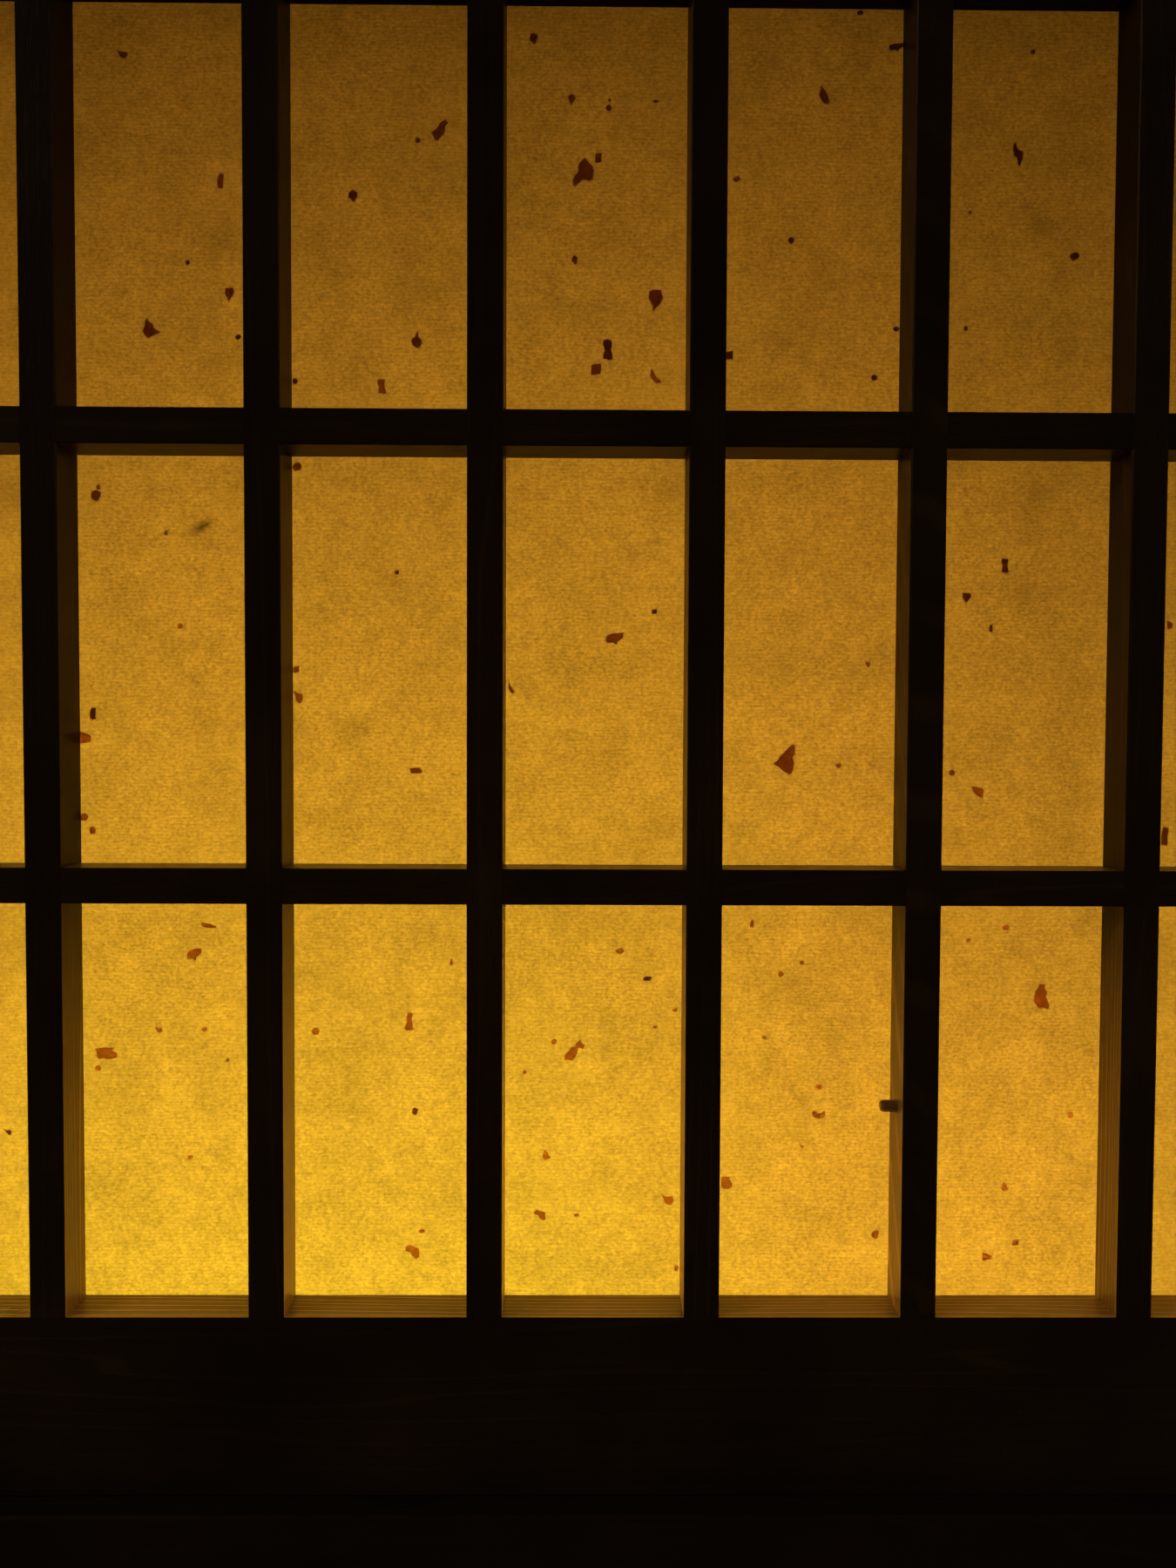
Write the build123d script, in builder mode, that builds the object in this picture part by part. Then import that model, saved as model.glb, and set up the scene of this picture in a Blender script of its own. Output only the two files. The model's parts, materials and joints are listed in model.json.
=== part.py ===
from build123d import *

import os

# A pair of shoji sliding screens in their timber frame, at real size in millimetres.
# Two papered leaves run in twin grooves between a sill and a head, and close into grooves in the jambs.
# Each leaf is a mortised frame of stiles and rails round a lattice of heavy bars, halved into one
# another where they cross, with one sheet of translucent paper pasted on the back of the lattice.
# X runs right as seen from the room, Y away from the room and Z up. The origin is on the floor, under
# the middle of the sill.

# Lattice of one leaf
bar_face = 21.0  # width of a bar as seen from the room
bar_depth = 28.5  # from the front of a bar to the paper on its back
cell_width = 108.0
cell_height = 246.0
columns = 7
rows = 6
cell_chamfer = 0.8  # eased edge round each cell, on the room side

# Frame of one leaf
stile_face = 36.0
top_rail_face = 64.0
bottom_rail_face = 107.0
stile_chamfer = 1.0  # eased outer edges of the stiles

# Joints of one leaf
bar_tenon_width = 13.0
bar_tenon_thickness = 12.0
bar_tenon_length = 12.0
rail_tenon_thickness = 10.0
top_tenon_height = 40.0
bottom_tenon_height = 32.0
bottom_tenon_spacing = 50.0  # between the middles of the bottom rail's two tenons
mortise_relief = 1.0  # room past the end of a blind tenon
joint_fit = 0.1  # slack on each side of a tenon or a halving

# Paper
paper_thickness = 0.3
paper_lap = 7.0  # how far the sheet is pasted over the stiles and rails
paper_edge_gap = 1.0  # from the sheet's edge to the wall of its rebate
rebate_depth = 1.5

# Finger pulls, routed in both faces of each leaf's outer stile
pull_length = 80.0
pull_width = 18.0
pull_depth = 9.0
pull_floor_radius = 3.0
pull_row = 2  # the row of cells that the pull stands beside, counted from 0 at the bottom

# Small peg in the side of one bar of the front leaf
peg_diameter = 7.0
peg_reach = 10.0  # how far it stands out into its cell
peg_seat = 6.0  # how deep it sits in the bar
peg_dome = 2.0  # rounding of its end
peg_bar = 4  # the upright bar that holds it, counted from 0 at the left
peg_row = 0  # the row of cells that it stands in, counted from 0 at the bottom

# Tracks
groove_width = 21.0
groove_clearance = 0.5  # on each side of a leaf's tongue
leaf_spacing = 3.0  # between the two leaves as they pass
head_engagement = 12.0  # how far a leaf's top tongue stands in the head
lift_room = 4.0  # above the top tongue, to lift a leaf off the sill
top_gap = 4.0  # from a leaf's top shoulder to the head
sill_engagement = 2.8  # how far a leaf's bottom tongue stands in the sill
bottom_gap = 1.0  # from a leaf's bottom shoulder to the sill
slip_thickness = 2.5
slip_gap = 0.2  # from a leaf's tongue to its slip strip

# Fixed frame
head_height = 40.0
sill_height = 45.0
jamb_face = 36.0
jamb_depth = 105.0
jamb_reveal = 3.0  # how far the jambs stand proud of the head and the sill, on each side
jamb_engagement = 5.0  # how far a closed leaf's stile stands in its jamb
closing_clearance = 1.0  # from a closed leaf's edge to the bottom of its groove in the jamb
jamb_groove_clearance = 0.5  # on each side of a leaf in its jamb's groove
frame_chamfer = 1.5
frame_tenon_width = 60.0
frame_tenon_thickness = 14.0
frame_tenon_length = 22.0

# Sizes of a leaf
leaf_thickness = bar_depth + rebate_depth
column_pitch = cell_width + bar_face
row_pitch = cell_height + bar_face
field_width = columns * cell_width + (columns - 1) * bar_face
field_height = rows * cell_height + (rows - 1) * bar_face
leaf_width = field_width + 2 * stile_face
leaf_height = bottom_rail_face + field_height + top_rail_face
tongue_thickness = groove_width - 2 * groove_clearance
top_tongue = top_gap + head_engagement
bottom_tongue = bottom_gap + sill_engagement

# Levels, from the floor up
leaf_bottom = sill_height + bottom_gap
field_bottom = leaf_bottom + bottom_rail_face
field_top = field_bottom + field_height
field_middle = (field_bottom + field_top) / 2
leaf_top = leaf_bottom + leaf_height
head_underside = leaf_top + top_gap
frame_height = head_underside + head_height

# Tracks and jambs
groove_pitch = leaf_thickness + leaf_spacing
head_groove_depth = head_engagement + lift_room
track_depth = sill_engagement + slip_gap  # from the sill's top to the slip strips
jamb_groove_depth = jamb_engagement + closing_clearance
half_opening = leaf_width - stile_face / 2 - jamb_engagement
board_depth = jamb_depth - 2 * jamb_reveal
head_tenon_z = (head_underside + head_groove_depth + frame_height) / 2
sill_tenon_z = (sill_height - track_depth - slip_thickness) / 2


class Leaf:
    """Where one leaf stands when the pair is closed, and which of its stiles has the finger pulls."""

    def __init__(self, name, left, groove_y, pull_side):
        self.name = name
        self.pull_side = pull_side
        self.middle_x = left + leaf_width / 2
        self.middle_y = groove_y
        self.front = groove_y - leaf_thickness / 2
        self.back = groove_y + leaf_thickness / 2
        self.paper_y = self.front + bar_depth
        self.tongue_front = groove_y - tongue_thickness / 2
        self.tenon_front = self.front + (bar_depth - bar_tenon_thickness) / 2


# The two inner stiles stand one behind the other, in the middle of the opening.
front_leaf = Leaf("front_leaf", -stile_face / 2, -groove_pitch / 2, "right")
rear_leaf = Leaf("rear_leaf", stile_face / 2 - leaf_width, groove_pitch / 2, "left")


def facing(x, y, z):
    """A plane that faces the room: its x runs right, its y runs up and its normal points to the viewer."""
    return Plane(origin=(x, y, z), x_dir=(1, 0, 0), z_dir=(0, -1, 0))


def upright_bar_x(leaf, index):
    """The middle of an upright bar."""
    return leaf.middle_x + (index - (columns - 2) / 2) * column_pitch


def level_bar_z(index):
    """The middle of a level bar."""
    return field_middle + (index - (rows - 2) / 2) * row_pitch


def column_x(leaf, column):
    """The middle of a column of cells."""
    return leaf.middle_x + (column - (columns - 1) / 2) * column_pitch


def row_z(row):
    """The middle height of a row of cells."""
    return field_middle + (row - (rows - 1) / 2) * row_pitch


def save(piece, name):
    """Labels a finished piece and writes it as parts/NAME.step."""
    piece.part.label = name
    export_step(piece.part, f"parts/{name}.step")


# What is cut from the pieces of a leaf


def cell_edges(leaf, x, z, across, up):
    """Eases the front edges round a block of cells, centred on x and z. Each cell's cut is a shallow
    frustum, wider at the face, so that the chamfers meet in a mitre at its corners."""
    with BuildPart() as cut:
        with BuildSketch(facing(x, leaf.front, z)):
            with GridLocations(column_pitch, row_pitch, across, up):
                Rectangle(cell_width + 2 * cell_chamfer, cell_height + 2 * cell_chamfer)
        extrude(amount=-cell_chamfer, taper=45)
    return cut.part


def paper_rebate(leaf):
    """The step round the field, on the back of the stiles and rails, that takes the sheet's edge."""
    margin = paper_lap + paper_edge_gap
    with BuildPart() as cut:
        with BuildSketch(facing(leaf.middle_x, leaf.back, field_middle)):
            Rectangle(field_width + 2 * margin, field_height + 2 * margin)
        extrude(amount=rebate_depth)
    return cut.part


def bar_mortises(leaf, across, up, width, height):
    """Blind mortises for the bar ends, as a grid of sticks that run past the field at both ends."""
    with BuildPart() as cut:
        with BuildSketch(facing(leaf.middle_x, leaf.tenon_front - joint_fit, field_middle)):
            with GridLocations(column_pitch, row_pitch, across, up):
                Rectangle(width, height)
        extrude(amount=-(bar_tenon_thickness + 2 * joint_fit))
    return cut.part


def upright_bar_mortises(leaf):
    """The mortises in the two rails."""
    length = field_height + 2 * (bar_tenon_length + mortise_relief)
    return bar_mortises(leaf, columns - 1, 1, bar_tenon_width + 2 * joint_fit, length)


def level_bar_mortises(leaf):
    """The mortises in the two stiles."""
    length = field_width + 2 * (bar_tenon_length + mortise_relief)
    return bar_mortises(leaf, 1, rows - 1, length, bar_tenon_width + 2 * joint_fit)


def rail_tenons(leaf, place, slack):
    """A rail's tenons, which run right through both stiles. Slack on every side makes the mortises."""
    if place == "top":
        middles = [leaf_top - top_rail_face / 2]
        height = top_tenon_height
    else:
        middle = leaf_bottom + bottom_rail_face / 2
        middles = [middle - bottom_tenon_spacing / 2, middle + bottom_tenon_spacing / 2]
        height = bottom_tenon_height
    with BuildPart() as tenons:
        for middle in middles:
            with BuildSketch(facing(leaf.middle_x, leaf.middle_y - rail_tenon_thickness / 2 - slack, middle)):
                Rectangle(leaf_width, height + 2 * slack)
            extrude(amount=-(rail_tenon_thickness + 2 * slack))
    return tenons.part


def finger_pull(leaf, x, face_y):
    """An upright slot with a softened floor, sunk in one face of a stile."""
    inward = 1 if face_y < leaf.middle_y else -1
    with BuildPart() as cut:
        with BuildSketch(facing(x, face_y, row_z(pull_row))):
            SlotOverall(pull_length, pull_width, rotation=90)
        extrude(amount=-inward * pull_depth)
        floor = cut.faces().sort_by(Axis.Y)[-1 if inward > 0 else 0]
        fillet(floor.edges(), pull_floor_radius)
    return cut.part


# The pieces of a leaf


def build_stile(leaf, side):
    """A stile: the upright edge of a leaf, mortised right through for the rails and blind for the bars."""
    outward = 1 if side == "right" else -1
    x = leaf.middle_x + outward * (leaf_width - stile_face) / 2
    outer_x = leaf.middle_x + outward * leaf_width / 2
    next_column = column_x(leaf, columns - 1 if side == "right" else 0)
    cuts = [
        rail_tenons(leaf, "top", joint_fit),
        rail_tenons(leaf, "bottom", joint_fit),
        level_bar_mortises(leaf),
        paper_rebate(leaf),
        cell_edges(leaf, next_column, field_middle, 1, rows),
    ]
    if side == leaf.pull_side:
        cuts.append(finger_pull(leaf, x, leaf.front))
        cuts.append(finger_pull(leaf, x, leaf.back))
    with BuildPart() as stile:
        with BuildSketch(facing(x, leaf.front, (leaf_bottom + leaf_top) / 2)):
            Rectangle(stile_face, leaf_height)
        extrude(amount=-leaf_thickness)
        outer_edges = stile.edges().filter_by(Axis.Z).filter_by_position(Axis.X, outer_x - 0.1, outer_x + 0.1)
        chamfer(outer_edges, stile_chamfer)
        tongue_length = bottom_tongue + leaf_height + top_tongue
        with BuildSketch(facing(x, leaf.tongue_front, leaf_bottom - bottom_tongue + tongue_length / 2)):
            Rectangle(stile_face, tongue_length)
        extrude(amount=-tongue_thickness)
        add(cuts, mode=Mode.SUBTRACT)
    save(stile, f"{leaf.name}_{side}_stile")


def build_rail(leaf, place):
    """A rail: a board between the stiles, tenoned through them, with a tongue that runs in its track."""
    if place == "top":
        bottom, top = field_top, leaf_top
        tongue_bottom, tongue_top = leaf_top, leaf_top + top_tongue
        next_row = row_z(rows - 1)
    else:
        bottom, top = leaf_bottom, field_bottom
        tongue_bottom, tongue_top = leaf_bottom - bottom_tongue, leaf_bottom
        next_row = row_z(0)
    tenons = rail_tenons(leaf, place, 0.0)
    cuts = [
        upright_bar_mortises(leaf),
        paper_rebate(leaf),
        cell_edges(leaf, leaf.middle_x, next_row, columns, 1),
    ]
    with BuildPart() as rail:
        with BuildSketch(facing(leaf.middle_x, leaf.front, (bottom + top) / 2)):
            Rectangle(field_width, top - bottom)
        extrude(amount=-leaf_thickness)
        with BuildSketch(facing(leaf.middle_x, leaf.tongue_front, (tongue_bottom + tongue_top) / 2)):
            Rectangle(field_width, tongue_top - tongue_bottom)
        extrude(amount=-tongue_thickness)
        add(tenons)
        add(cuts, mode=Mode.SUBTRACT)
    save(rail, f"{leaf.name}_{place}_rail")


def build_upright_bar(leaf, index):
    """An upright lattice bar. Its back half is cut away where each level bar passes behind it."""
    x = upright_bar_x(leaf, index)
    cuts = [cell_edges(leaf, x, field_middle, 2, rows)]
    if leaf is front_leaf and index == peg_bar:
        cuts.append(peg_hole())
    with BuildPart() as bar:
        with BuildSketch(facing(x, leaf.front, field_middle)):
            Rectangle(bar_face, field_height)
        extrude(amount=-bar_depth)
        with BuildSketch(facing(x, leaf.tenon_front, field_middle)):
            Rectangle(bar_tenon_width, field_height + 2 * bar_tenon_length)
        extrude(amount=-bar_tenon_thickness)
        with BuildSketch(facing(x, leaf.paper_y, field_middle)):
            with GridLocations(0, row_pitch, 1, rows - 1):
                Rectangle(bar_face, bar_face + 2 * joint_fit)
        extrude(amount=bar_depth / 2, mode=Mode.SUBTRACT)
        add(cuts, mode=Mode.SUBTRACT)
    save(bar, f"{leaf.name}_upright_bar_{index + 1}")


def build_level_bar(leaf, index):
    """A level lattice bar. Its front half is cut away where each upright bar passes in front of it."""
    z = level_bar_z(index)
    edges = cell_edges(leaf, leaf.middle_x, z, columns, 2)
    with BuildPart() as bar:
        with BuildSketch(facing(leaf.middle_x, leaf.front, z)):
            Rectangle(field_width, bar_face)
        extrude(amount=-bar_depth)
        with BuildSketch(facing(leaf.middle_x, leaf.tenon_front, z)):
            Rectangle(field_width + 2 * bar_tenon_length, bar_tenon_width)
        extrude(amount=-bar_tenon_thickness)
        with BuildSketch(facing(leaf.middle_x, leaf.front, z)):
            with GridLocations(column_pitch, 0, columns - 1, 1):
                Rectangle(bar_face + 2 * joint_fit, bar_face)
        extrude(amount=-bar_depth / 2, mode=Mode.SUBTRACT)
        add(edges, mode=Mode.SUBTRACT)
    save(bar, f"{leaf.name}_level_bar_{index + 1}")


def build_paper(leaf):
    """The paper: one flat sheet on the back of the lattice, its margin pasted in the rebate."""
    with BuildPart() as paper:
        with BuildSketch(facing(leaf.middle_x, leaf.paper_y, field_middle)):
            Rectangle(field_width + 2 * paper_lap, field_height + 2 * paper_lap)
        extrude(amount=-paper_thickness)
    save(paper, f"{leaf.name}_paper")


def peg_plane():
    """Where the peg leaves its bar: the middle of the bar's left side, looking left."""
    x = upright_bar_x(front_leaf, peg_bar) - bar_face / 2
    origin = (x, front_leaf.front + bar_depth / 2, row_z(peg_row))
    return Plane(origin=origin, x_dir=(0, 1, 0), z_dir=(-1, 0, 0))


def peg_hole():
    """The blind hole that the peg is let into."""
    with BuildPart() as cut:
        with BuildSketch(peg_plane()):
            Circle(peg_diameter / 2 + joint_fit)
        extrude(amount=-(peg_seat + mortise_relief))
    return cut.part


def build_peg():
    """The peg: a short turned pin with a rounded end."""
    with BuildPart() as peg:
        with BuildSketch(peg_plane().offset(-peg_seat)):
            Circle(peg_diameter / 2)
        extrude(amount=peg_seat + peg_reach)
        fillet(peg.faces().sort_by(Axis.X)[0].edges(), peg_dome)
    save(peg, "front_leaf_peg")


# The fixed frame


def track_tenons(z, length, slack):
    """The stub tenons at both ends of the head or the sill. Slack on every side makes the mortises."""
    with BuildPart() as tenons:
        with BuildSketch(facing(0, -frame_tenon_width / 2 - slack, z)):
            Rectangle(2 * (half_opening + length), frame_tenon_thickness + 2 * slack)
        extrude(amount=-(frame_tenon_width + 2 * slack))
    return tenons.part


def build_track(name, bottom, top, mouth, groove_depth, tenon_z):
    """The head or the sill: a board with two grooves in the face at the height called mouth."""
    tenons = track_tenons(tenon_z, frame_tenon_length, 0.0)
    groove_middle = mouth + groove_depth / 2 if mouth == bottom else mouth - groove_depth / 2
    with BuildPart() as track:
        with BuildSketch(Plane.YZ.offset(-half_opening)):
            with Locations((0, (bottom + top) / 2)):
                Rectangle(board_depth, top - bottom)
        extrude(amount=2 * half_opening)
        mouth_edges = track.edges().filter_by(Axis.X).filter_by_position(Axis.Z, mouth - 0.1, mouth + 0.1)
        chamfer(mouth_edges, frame_chamfer)
        with BuildSketch(Plane.YZ.offset(-half_opening)):
            with Locations((0, groove_middle)):
                with GridLocations(groove_pitch, 0, 2, 1):
                    Rectangle(groove_width, groove_depth)
        extrude(amount=2 * half_opening, mode=Mode.SUBTRACT)
        add(tenons)
    save(track, name)


def build_slip_strip(leaf, name):
    """A thin hardwood strip laid in the bottom of a sill groove, for the leaf to run on."""
    with BuildPart() as strip:
        with BuildSketch(Plane.YZ.offset(-half_opening)):
            with Locations((leaf.middle_y, sill_height - track_depth - slip_thickness / 2)):
                Rectangle(groove_width - 2 * joint_fit, slip_thickness)
        extrude(amount=2 * half_opening)
    save(strip, name)


def build_jamb(leaf, side):
    """A jamb: the fixed post at one end, grooved for the stile of the leaf that closes against it, and
    more deeply in height for the tongues at that stile's ends."""
    outward = 1 if side == "right" else -1
    x = outward * (half_opening + jamb_face / 2)
    groove_x = outward * (half_opening + jamb_groove_depth / 2)
    body_width = leaf_thickness + 2 * jamb_groove_clearance
    tongue_bottom = sill_height - track_depth
    tongue_top = head_underside + head_groove_depth
    mortise_length = frame_tenon_length + mortise_relief
    cuts = [
        track_tenons(head_tenon_z, mortise_length, joint_fit),
        track_tenons(sill_tenon_z, mortise_length, joint_fit),
    ]
    with BuildPart() as jamb:
        with BuildSketch(facing(x, -jamb_depth / 2, frame_height / 2)):
            Rectangle(jamb_face, frame_height)
        extrude(amount=-jamb_depth)
        inner_edges = jamb.edges().filter_by(Axis.Z).sort_by(Axis.X)
        chamfer(inner_edges[:2] if side == "right" else inner_edges[-2:], frame_chamfer)
        with BuildSketch(facing(groove_x, leaf.middle_y - body_width / 2, (sill_height + head_underside) / 2)):
            Rectangle(jamb_groove_depth, head_underside - sill_height)
        extrude(amount=-body_width, mode=Mode.SUBTRACT)
        with BuildSketch(facing(groove_x, leaf.middle_y - groove_width / 2, (tongue_bottom + tongue_top) / 2)):
            Rectangle(jamb_groove_depth, tongue_top - tongue_bottom)
        extrude(amount=-groove_width, mode=Mode.SUBTRACT)
        add(cuts, mode=Mode.SUBTRACT)
    save(jamb, f"{side}_jamb")


def build_leaf(leaf):
    """Every piece of one leaf."""
    for side in ("left", "right"):
        build_stile(leaf, side)
    for place in ("top", "bottom"):
        build_rail(leaf, place)
    for index in range(columns - 1):
        build_upright_bar(leaf, index)
    for index in range(rows - 1):
        build_level_bar(leaf, index)
    build_paper(leaf)


os.makedirs("parts", exist_ok=True)
build_track("head", head_underside, frame_height, head_underside, head_groove_depth, head_tenon_z)
build_track("sill", 0.0, sill_height, sill_height, track_depth + slip_thickness, sill_tenon_z)
build_slip_strip(front_leaf, "front_slip_strip")
build_slip_strip(rear_leaf, "rear_slip_strip")
build_jamb(rear_leaf, "left")
build_jamb(front_leaf, "right")
build_leaf(front_leaf)
build_leaf(rear_leaf)
build_peg()
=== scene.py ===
# %% [markdown]
# A pair of shoji leaves in their timber frame, dressed for rendering.
#
# The timber comes from the CAD model and keeps its shape: here it gets its dark stain, and inside the
# cells a painted glow that stands in for the paper's light on the walls. The paper is modelled here,
# because a real sheet is never quite flat, and so are the flakes of leaf that the paper maker dropped
# into the pulp.
# All lengths are in metres.

import json
import math

import bpy
import numpy as np
from mathutils import Matrix, Vector

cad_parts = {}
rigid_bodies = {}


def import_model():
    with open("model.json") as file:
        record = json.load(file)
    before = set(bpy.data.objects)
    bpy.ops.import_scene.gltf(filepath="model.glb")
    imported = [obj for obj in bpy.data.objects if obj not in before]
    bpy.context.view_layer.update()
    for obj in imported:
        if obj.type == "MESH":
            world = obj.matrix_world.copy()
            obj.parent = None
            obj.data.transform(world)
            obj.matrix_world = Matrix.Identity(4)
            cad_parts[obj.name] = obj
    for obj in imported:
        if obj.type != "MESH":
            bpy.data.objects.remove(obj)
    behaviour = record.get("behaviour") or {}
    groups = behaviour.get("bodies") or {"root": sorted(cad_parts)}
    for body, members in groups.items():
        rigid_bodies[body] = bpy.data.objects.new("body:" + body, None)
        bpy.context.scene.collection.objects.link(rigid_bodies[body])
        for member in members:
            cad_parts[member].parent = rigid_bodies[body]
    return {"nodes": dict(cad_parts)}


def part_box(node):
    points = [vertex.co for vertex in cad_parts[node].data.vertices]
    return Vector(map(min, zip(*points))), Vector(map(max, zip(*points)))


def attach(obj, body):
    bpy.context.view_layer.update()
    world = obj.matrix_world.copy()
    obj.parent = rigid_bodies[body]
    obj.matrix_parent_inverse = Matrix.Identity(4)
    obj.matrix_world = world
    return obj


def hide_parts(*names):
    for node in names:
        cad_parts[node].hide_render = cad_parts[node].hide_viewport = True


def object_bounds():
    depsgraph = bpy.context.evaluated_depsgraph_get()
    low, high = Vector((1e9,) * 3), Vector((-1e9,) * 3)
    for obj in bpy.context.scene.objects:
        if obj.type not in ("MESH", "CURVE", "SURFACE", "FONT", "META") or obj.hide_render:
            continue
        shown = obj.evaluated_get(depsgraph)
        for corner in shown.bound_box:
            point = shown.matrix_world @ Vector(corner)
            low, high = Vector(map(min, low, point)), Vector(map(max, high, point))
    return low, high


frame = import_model()
cad_box = [list(corner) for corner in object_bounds()]
low, high = (Vector(corner) for corner in cad_box)
print("the frame measures", [round(side, 3) for side in high - low])

# %% [markdown]
# Every piece that is added below has to fit the lattice, so the lattice is measured first. A column of
# cells lies between two upright bars, and a row between two level bars. The outermost ones end at the
# stiles and the rails. Reading these edges from the CAD nodes means that nothing here has to be
# retyped when a size changes.

# %% Where the cells are
X, Y, Z = 0, 1, 2
MM = 0.001


class Lattice:
    """The places in one leaf: where its cells start and end, across and up, and where its paper lies."""

    def __init__(self, leaf):
        self.leaf = leaf
        self.columns = self.spans("upright_bar", X, "left_stile", "right_stile")
        self.rows = self.spans("level_bar", Z, "bottom_rail", "top_rail")
        self.paper_low, self.paper_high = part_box(f"{leaf}_paper")

    def spans(self, bar, axis, first, last):
        """An array of (start, end) for each run of clear space between the pieces that cross the axis."""
        bars = sorted(name for name in frame["nodes"] if name.startswith(f"{self.leaf}_{bar}_"))
        boxes = [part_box(name) for name in bars]
        starts = [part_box(f"{self.leaf}_{first}")[1][axis]] + [box[1][axis] for box in boxes]
        ends = [box[0][axis] for box in boxes] + [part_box(f"{self.leaf}_{last}")[0][axis]]
        return np.array(list(zip(starts, ends)))


lattices = {leaf: Lattice(leaf) for leaf in ("front_leaf", "rear_leaf")}
front, rear = lattices.values()
for leaf, lattice in lattices.items():
    print(leaf, "has", len(lattice.columns), "columns and", len(lattice.rows), "rows of cells")

# %% [markdown]
# The camera stands where the photograph was taken from: 0.67 m in front of the right-hand leaf and about
# half a metre above the floor, looking almost straight on and slightly down. Its place was worked out
# from the corners of the lattice's cells.

# %% The camera
CAMERA_PLACE = Vector((0.4496, -0.6979, 0.4916))
LOOKS_DOWN = math.radians(1.848)
LOOKS_LEFT = math.radians(-0.451)
LEANS = math.radians(-0.217)
FOCAL_LENGTH = 26.19  # in millimetres
NEAREST_SEEN = 0.01

camera_lens = bpy.data.cameras.new("camera")
camera_lens.lens = FOCAL_LENGTH
camera_lens.clip_start = NEAREST_SEEN
camera = bpy.data.objects.new("camera", camera_lens)
level_and_facing_y = Matrix.Rotation(math.radians(90), 4, "X")
turn = (
    Matrix.Rotation(LEANS, 4, "Y")
    @ Matrix.Rotation(-LOOKS_DOWN, 4, "X")
    @ Matrix.Rotation(LOOKS_LEFT, 4, "Z")
)
camera.matrix_world = Matrix.Translation(CAMERA_PLACE) @ turn @ level_and_facing_y
bpy.context.scene.collection.objects.link(camera)
bpy.context.scene.camera = camera
bpy.context.scene.view_settings.view_transform = "Standard"
print("the camera is", round(-CAMERA_PLACE.y, 3), "m in front of the frame's middle")

# %% [markdown]
# Materials are built from nodes. A small helper keeps each recipe short: it adds a node, and each of its
# inputs is given either a plain value or the output of another node.


# %% A helper for materials
class Recipe:
    """A new material and the nodes in it."""

    def __init__(self, name):
        self.material = bpy.data.materials.new(name)
        self.material.use_nodes = True
        self.tree = self.material.node_tree
        self.tree.nodes.clear()

    def add(self, kind, inputs=None, **settings):
        """Adds a node, sets it up, and joins or fills its inputs, which go by name or by number."""
        node = self.tree.nodes.new(f"ShaderNode{kind}")
        for name, value in settings.items():
            setattr(node, name, value)
        for name, value in (inputs or {}).items():
            if isinstance(value, bpy.types.NodeSocket):
                self.tree.links.new(value, node.inputs[name])
            else:
                node.inputs[name].default_value = value
        return node

    def here(self):
        """A point's place on the piece, in metres."""
        return self.add("TexCoord").outputs["Object"]

    def attribute(self, name):
        """A number that the mesh carries at each of its points."""
        return self.add("Attribute", attribute_name=name).outputs["Fac"]

    def stretched(self, place, scale, turn=(0.0, 0.0, 0.0)):
        """The place, turned and then scaled along each axis."""
        turned = self.add("Mapping", {"Vector": place, "Rotation": turn}).outputs[0]
        return self.add("VectorMath", {0: turned, 1: scale}, operation="MULTIPLY").outputs[0]

    def noise(self, place, scale, detail=2.0, roughness=0.5):
        """Soft random patches, from 0 to 1."""
        inputs = {"Vector": place, "Scale": scale, "Detail": detail, "Roughness": roughness}
        return self.add("TexNoise", inputs).outputs["Fac"]

    def sums(self, operation, first, second=0.5, third=0.5):
        """A sum on two or three numbers. MULTIPLY_ADD is the first times the second, plus the third."""
        return self.add("Math", {0: first, 1: second, 2: third}, operation=operation).outputs[0]

    def ramp(self, value, start, end, low=0.0, high=1.0, how="SMOOTHSTEP"):
        """The value, carried from one range to another and held within it, with a soft start and end."""
        inputs = {"Value": value, "From Min": start, "From Max": end, "To Min": low, "To Max": high}
        return self.add("MapRange", inputs, interpolation_type=how).outputs["Result"]

    def scaled(self, vector, factor):
        """A colour or a place, times a number."""
        return self.add("VectorMath", {0: vector, "Scale": factor}, operation="SCALE").outputs[0]

    def moved(self, place, by):
        """The place, moved by a number or by another place."""
        return self.add("VectorMath", {0: place, 1: by}, operation="ADD").outputs[0]

    def blend(self, share, first, second):
        """Two colours mixed: all of the first at share 0, all of the second at share 1."""
        inputs = {"Factor": share, 6: first, 7: second}
        return self.add("Mix", inputs, data_type="RGBA").outputs[2]

    def finish(self, shader):
        """Joins the shader to the material's output."""
        self.add("OutputMaterial", {"Surface": shader})
        return self.material


# %% [markdown]
# The object stands on a plain pale floor. The sky is pale too, but only where the camera looks at it:
# as a light it is dim, because the lamps do the lighting and the paper has to glow against it.

# %% Floor and sky
PALE = (0.80, 0.79, 0.77, 1.0)
FLOOR_SIDE = 12.0
SKY_SEEN = 0.9
SKY_LIGHT = 0.30

floor_recipe = Recipe("pale_floor")
floor_shader = floor_recipe.add("BsdfDiffuse", {"Color": PALE, "Roughness": 1.0})
floor_mesh = bpy.data.meshes.new("floor")
corners = np.array([(-1, -1), (1, -1), (1, 1), (-1, 1)]) * FLOOR_SIDE / 2
floor_mesh.from_pydata([(x, y, 0.0) for x, y in corners], [], [(0, 1, 2, 3)])
floor_mesh.materials.append(floor_recipe.finish(floor_shader.outputs[0]))
floor = bpy.data.objects.new("floor", floor_mesh)
bpy.context.scene.collection.objects.link(floor)

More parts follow.
